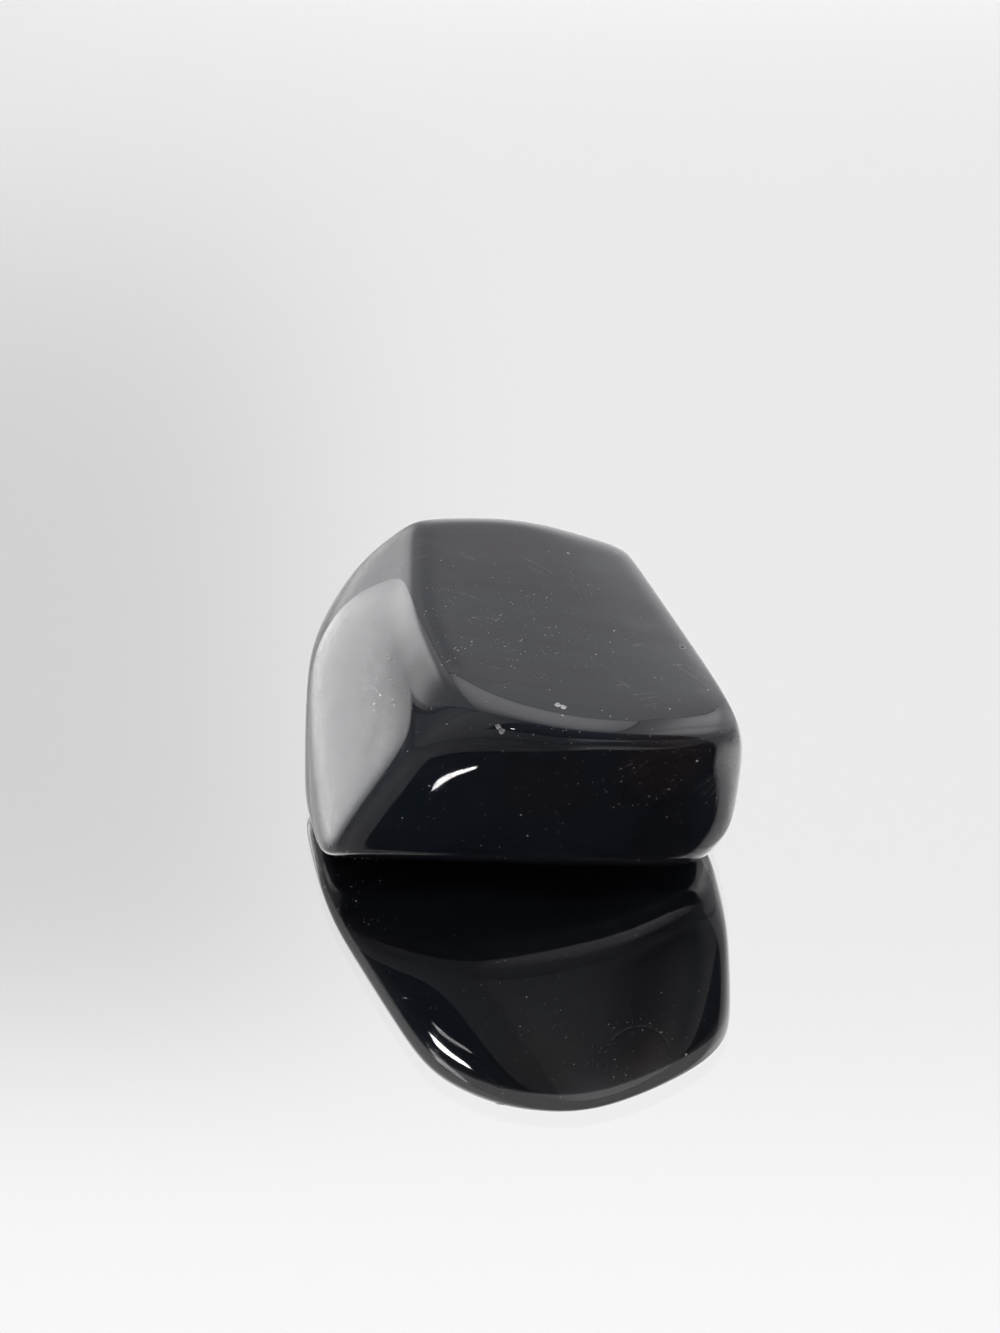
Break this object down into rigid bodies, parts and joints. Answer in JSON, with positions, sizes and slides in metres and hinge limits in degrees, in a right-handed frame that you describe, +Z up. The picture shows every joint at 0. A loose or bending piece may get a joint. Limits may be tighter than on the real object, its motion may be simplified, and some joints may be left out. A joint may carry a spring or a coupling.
{
  "type": "tumbled obsidian stone",
  "caption": "Tumbled chunk of polished black obsidian: a low block with worn flat sides, rounded edges and an overhanging front, resting on its flat base.",
  "frame": {"origin": "on the resting plane, below the middle of the bounding box", "axes": "+Z up; the overhanging front looks along -Y; +X is the right of someone who looks at the front"},
  "size_m": [0.0278, 0.0278, 0.0153],
  "materials": {
    "obsidian": "glassy tumbled polish"
  },
  "bodies": {
    "root": {"obsidian_stone": "obsidian"}
  },
  "joints": []
}
